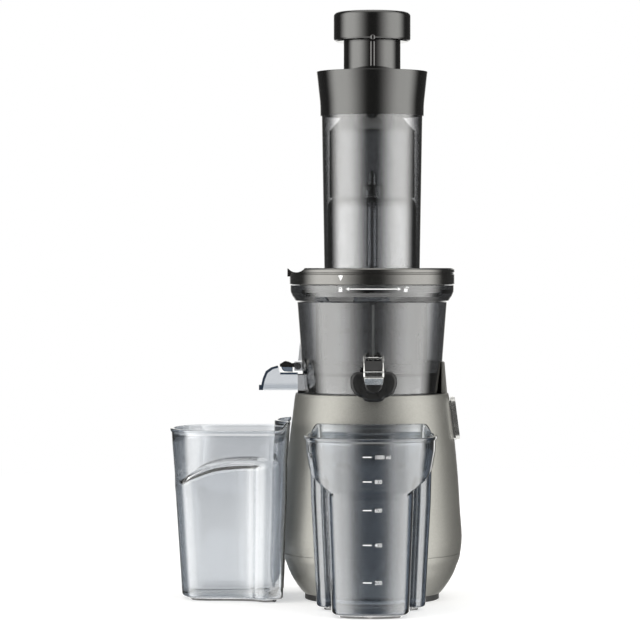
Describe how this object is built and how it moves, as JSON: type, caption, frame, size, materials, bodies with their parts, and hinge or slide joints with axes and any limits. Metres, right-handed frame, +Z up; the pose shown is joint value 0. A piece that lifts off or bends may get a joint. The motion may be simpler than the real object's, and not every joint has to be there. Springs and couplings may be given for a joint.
{
  "type": "cold press juicer",
  "caption": "Tall slow juicer: rounded motor base, clear juicing bowl with spout and pulp outlet, feed tube with pusher, and free-standing cups for juice and pulp.",
  "frame": {"origin": "the floor under the vertical drive axis, in the middle of the rubber foot ring", "axes": "+Z up along the drive axis, -Y towards the juice spout, +X towards the switch"},
  "size_m": [0.2484, 0.2517, 0.4972],
  "materials": {
    "base_metallic": "satin",
    "foot_rubber": "matte",
    "deck_plastic": "matte",
    "gunmetal_plastic": "gloss",
    "smoke_clear": "clear",
    "cup_clear": "clear",
    "chrome": "polished",
    "black_rubber": "satin",
    "seal_silicone": "matte",
    "steel": "brushed",
    "bronze": "satin",
    "copper_winding": "gloss",
    "gear_plastic": "matte",
    "board_green": "matte",
    "auger_plastic": "satin",
    "strainer_plastic": "satin",
    "cast_alloy": "satin"
  },
  "bodies": {
    "base": {"foot_ring": "foot_rubber", "base_cover": "base_metallic", "base_shell": "base_metallic", "base_deck": "deck_plastic", "switch_bezel": "chrome", "cord_gland": "black_rubber", "control_board": "board_green", "cover_screws": "steel", "motor_frame": "cast_alloy", "motor_bushes": "bronze", "stator_core": "steel", "stator_windings": "copper_winding", "gearbox_ring": "gear_plastic", "gearbox_cover": "cast_alloy", "gearbox_screws": "steel", "shaft_bearing": "steel", "shaft_seal": "black_rubber"},
    "output": {"planet_carrier": "steel", "drive_shaft": "steel"},
    "rotor": {"rotor_core": "steel", "rotor_shaft": "steel", "cooling_fan": "deck_plastic"},
    "planet_1": {"planet_gear_1": "gear_plastic"},
    "planet_2": {"planet_gear_2": "gear_plastic"},
    "planet_3": {"planet_gear_3": "gear_plastic"},
    "rocker": {"switch_rocker": "deck_plastic"},
    "bowl": {"juice_bowl": "smoke_clear", "strainer_frame": "strainer_plastic", "strainer_mesh": "steel", "pulp_plug": "seal_silicone", "pulp_chute": "cup_clear", "bowl_seal": "seal_silicone", "cap_hinge_pin": "chrome", "lever_pin": "steel", "idler_post": "steel"},
    "spout_cap": {"drip_cap": "black_rubber", "cap_buckle": "chrome"},
    "lever": {"pulp_lever": "deck_plastic"},
    "idler": {"idler_gear": "gear_plastic"},
    "wiper": {"wiper_frame": "strainer_plastic", "wiper_blades": "seal_silicone"},
    "auger": {"auger_core": "auger_plastic", "auger_flight": "auger_plastic", "auger_pin": "steel"},
    "lid": {"lid_ring": "gunmetal_plastic", "lid_gasket": "seal_silicone", "feed_tube": "smoke_clear", "hopper_collar": "gunmetal_plastic", "bearing_dome": "smoke_clear", "dome_hub": "chrome"},
    "pusher": {"pusher_cap": "gunmetal_plastic", "pusher_piston": "smoke_clear"},
    "juice_cup": {"juice_cup": "cup_clear"},
    "pulp_cup": {"pulp_cup": "cup_clear"}
  },
  "joints": [
    {"name": "drive_spin", "type": "hinge", "parent": "base", "child": "output", "pos_m": [0, 0, 0.2], "axis": [0, 0, 1], "continuous": true},
    {"name": "rotor_spin", "type": "hinge", "parent": "base", "child": "rotor", "pos_m": [0, 0, 0.06], "axis": [0, 0, 1], "continuous": true},
    {"name": "planet_1_spin", "type": "hinge", "parent": "output", "child": "planet_1", "pos_m": [0.0165, 0, 0.11], "axis": [0, 0, 1], "continuous": true},
    {"name": "planet_2_spin", "type": "hinge", "parent": "output", "child": "planet_2", "pos_m": [-0.00825, 0.01429, 0.11], "axis": [0, 0, 1], "continuous": true},
    {"name": "planet_3_spin", "type": "hinge", "parent": "output", "child": "planet_3", "pos_m": [-0.00825, -0.01429, 0.11], "axis": [0, 0, 1], "continuous": true},
    {"name": "switch_tilt", "type": "hinge", "parent": "base", "child": "rocker", "pos_m": [0.06734, 0, 0.15229], "axis": [0, 1, 0], "range_deg": [-10, 10]},
    {"name": "bowl_lift", "type": "slide", "parent": "base", "child": "bowl", "axis": [0, 0, 1], "range_m": [0, 0.075]},
    {"name": "auger_spin", "type": "hinge", "parent": "bowl", "child": "auger", "pos_m": [0, 0, 0.24], "axis": [0, 0, 1], "continuous": true},
    {"name": "idler_spin", "type": "hinge", "parent": "bowl", "child": "idler", "pos_m": [0.01463, 0.02533, 0.196], "axis": [0, 0, 1], "continuous": true},
    {"name": "wiper_spin", "type": "hinge", "parent": "bowl", "child": "wiper", "pos_m": [0, 0, 0.196], "axis": [0, 0, 1], "continuous": true},
    {"name": "spout_cap_swing", "type": "hinge", "parent": "bowl", "child": "spout_cap", "pos_m": [0, -0.0695, 0.206], "axis": [-1, 0, 0], "range_deg": [0, 95]},
    {"name": "lever_lift", "type": "hinge", "parent": "bowl", "child": "lever", "pos_m": [-0.063, 0, 0.1974], "axis": [0, 1, 0], "range_deg": [0, 50]},
    {"name": "lid_turn", "type": "hinge", "parent": "bowl", "child": "lid", "pos_m": [0, 0, 0.2665], "axis": [0, 0, 1], "range_deg": [0, 47]},
    {"name": "pusher_lift", "type": "slide", "parent": "lid", "child": "pusher", "axis": [0, 0, 1], "range_m": [0, 0.13]},
    {"name": "juice_cup_slide", "type": "slide", "parent": "base", "child": "juice_cup", "axis": [0, -1, 0], "range_m": [0, 0.15]},
    {"name": "pulp_cup_slide", "type": "slide", "parent": "base", "child": "pulp_cup", "axis": [-1, 0, 0], "range_m": [0, 0.15]}
  ],
  "couplings": [
    {"joint": "rotor_spin", "follows": "drive_spin", "ratio": 5.5},
    {"joint": "planet_1_spin", "follows": "drive_spin", "ratio": -2.5714},
    {"joint": "planet_2_spin", "follows": "drive_spin", "ratio": -2.5714},
    {"joint": "planet_3_spin", "follows": "drive_spin", "ratio": -2.5714},
    {"joint": "auger_spin", "follows": "drive_spin", "ratio": 1},
    {"joint": "idler_spin", "follows": "drive_spin", "ratio": -1.6},
    {"joint": "wiper_spin", "follows": "drive_spin", "ratio": -0.44444}
  ]
}
